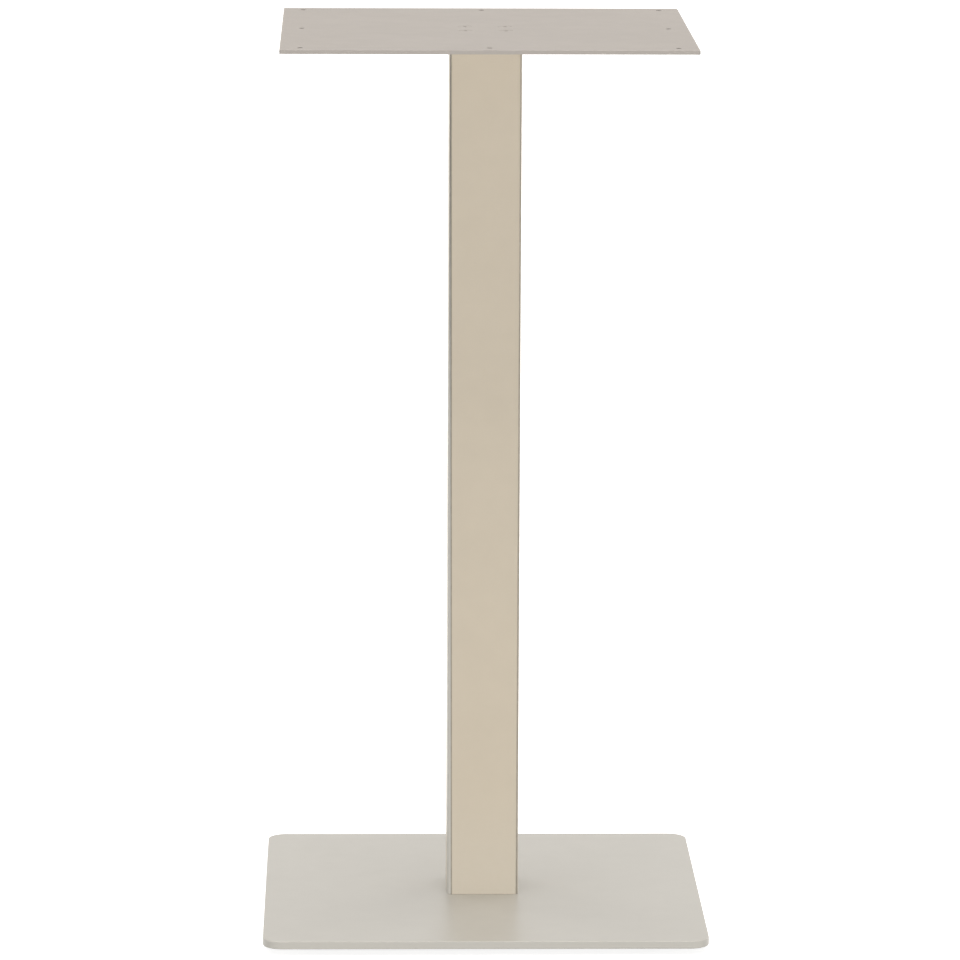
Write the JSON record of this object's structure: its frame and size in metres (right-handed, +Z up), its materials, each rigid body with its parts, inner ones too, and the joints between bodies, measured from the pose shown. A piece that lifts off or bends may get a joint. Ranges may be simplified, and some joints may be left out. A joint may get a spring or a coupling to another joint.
{
  "type": "square metal table leg",
  "caption": "Pedestal table leg: square steel tube between a heavy square base plate and a thinner square top plate, with levelling glides underneath.",
  "frame": {"origin": "middle of the footprint on the floor, under the column", "axes": "+Z up the column, X and Y along the plates' sides, -Y is the front"},
  "size_m": [0.55, 0.55, 1.113],
  "materials": {
    "column_coat": "satin powder coat in warm sand, fine orange peel",
    "plate_coat": "satin powder coat in greyer sand, fine orange peel",
    "bare_steel": "cut and ground mild steel",
    "zinc_plate": "bright zinc plate",
    "black_plastic": "moulded, fine matt texture"
  },
  "bodies": {
    "pedestal": {"base_plate": "plate_coat", "column_tube": "column_coat", "foot_end_plate": "bare_steel", "head_end_plate": "bare_steel", "top_plate": "plate_coat", "base_screw_1": "zinc_plate", "base_screw_2": "zinc_plate", "base_screw_3": "zinc_plate", "base_screw_4": "zinc_plate", "top_screw_1": "plate_coat", "top_screw_2": "plate_coat", "top_screw_3": "plate_coat", "top_screw_4": "plate_coat"},
    "pad_1": {"glide_pad_1": "black_plastic"},
    "stud_1": {"glide_stud_1": "zinc_plate"},
    "pad_2": {"glide_pad_2": "black_plastic"},
    "stud_2": {"glide_stud_2": "zinc_plate"},
    "pad_3": {"glide_pad_3": "black_plastic"},
    "stud_3": {"glide_stud_3": "zinc_plate"},
    "pad_4": {"glide_pad_4": "black_plastic"},
    "stud_4": {"glide_stud_4": "zinc_plate"}
  },
  "joints": [
    {"name": "glide_height_1", "type": "slide", "parent": "pedestal", "child": "pad_1", "axis": [0, 0, -1], "range_m": [0, 0.004]},
    {"name": "glide_screw_1", "type": "hinge", "parent": "pad_1", "child": "stud_1", "pos_m": [0.22, 0.22, 0.008], "axis": [0, 0, -1], "range_deg": [0, 1152]},
    {"name": "glide_height_2", "type": "slide", "parent": "pedestal", "child": "pad_2", "axis": [0, 0, -1], "range_m": [0, 0.004]},
    {"name": "glide_screw_2", "type": "hinge", "parent": "pad_2", "child": "stud_2", "pos_m": [-0.22, 0.22, 0.008], "axis": [0, 0, -1], "range_deg": [0, 1152]},
    {"name": "glide_height_3", "type": "slide", "parent": "pedestal", "child": "pad_3", "axis": [0, 0, -1], "range_m": [0, 0.004]},
    {"name": "glide_screw_3", "type": "hinge", "parent": "pad_3", "child": "stud_3", "pos_m": [-0.22, -0.22, 0.008], "axis": [0, 0, -1], "range_deg": [0, 1152]},
    {"name": "glide_height_4", "type": "slide", "parent": "pedestal", "child": "pad_4", "axis": [0, 0, -1], "range_m": [0, 0.004]},
    {"name": "glide_screw_4", "type": "hinge", "parent": "pad_4", "child": "stud_4", "pos_m": [0.22, -0.22, 0.008], "axis": [0, 0, -1], "range_deg": [0, 1152]}
  ],
  "couplings": [
    {"joint": "glide_height_1", "follows": "glide_screw_1", "m_per_rad": 0.00019894},
    {"joint": "glide_height_2", "follows": "glide_screw_2", "m_per_rad": 0.00019894},
    {"joint": "glide_height_3", "follows": "glide_screw_3", "m_per_rad": 0.00019894},
    {"joint": "glide_height_4", "follows": "glide_screw_4", "m_per_rad": 0.00019894}
  ]
}
